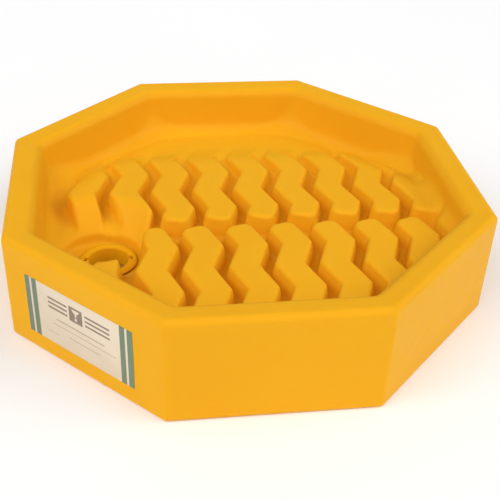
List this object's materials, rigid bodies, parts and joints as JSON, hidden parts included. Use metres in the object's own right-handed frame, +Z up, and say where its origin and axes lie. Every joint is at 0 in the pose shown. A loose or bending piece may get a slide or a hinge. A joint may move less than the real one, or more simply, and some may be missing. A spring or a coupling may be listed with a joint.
{
  "type": "drum funnel",
  "caption": "Wide octagonal drum-top funnel: a deep tray with zigzag draining ribs, a round corner sump with a turning bung spout and a lift-out strainer.",
  "frame": {"origin": "middle of the octagonal base, on the surface that it stands on", "axes": "+Z up out of the tray; the front wall faces -Y; the label's wall faces between -X and -Y, and the sump lies toward -X, 198 degrees round from +X"},
  "size_m": [0.66, 0.66, 0.156],
  "materials": {
    "body": "satin yellow moulded polyethylene",
    "plug": "matt",
    "label": "satin printed film",
    "seal": "matt",
    "washer": "satin",
    "spout": "satin",
    "nut": "satin",
    "steel": "brushed",
    "mesh": "woven",
    "wire": "drawn"
  },
  "bodies": {
    "funnel": {"funnel_body": "body", "vent_plug": "plug", "label": "label", "sump_gasket": "seal", "slip_washer": "washer"},
    "spout": {"drain_spout": "spout", "retaining_nut": "nut", "bung_gasket": "seal"},
    "strainer": {"strainer_ring": "steel", "strainer_cup": "mesh"},
    "bail": {"strainer_bail": "wire"}
  },
  "joints": [
    {"name": "spout_turn", "type": "hinge", "parent": "funnel", "child": "spout", "pos_m": [-0.1972, -0.06294, 0.045], "axis": [0, 0, 1], "continuous": true},
    {"name": "strainer_lift", "type": "slide", "parent": "spout", "child": "strainer", "axis": [0, 0, 1], "range_m": [0, 0.15]},
    {"name": "bail_fold", "type": "hinge", "parent": "strainer", "child": "bail", "pos_m": [-0.1972, -0.06294, 0.0425], "axis": [1, 0, 0], "range_deg": [0, 180]}
  ]
}
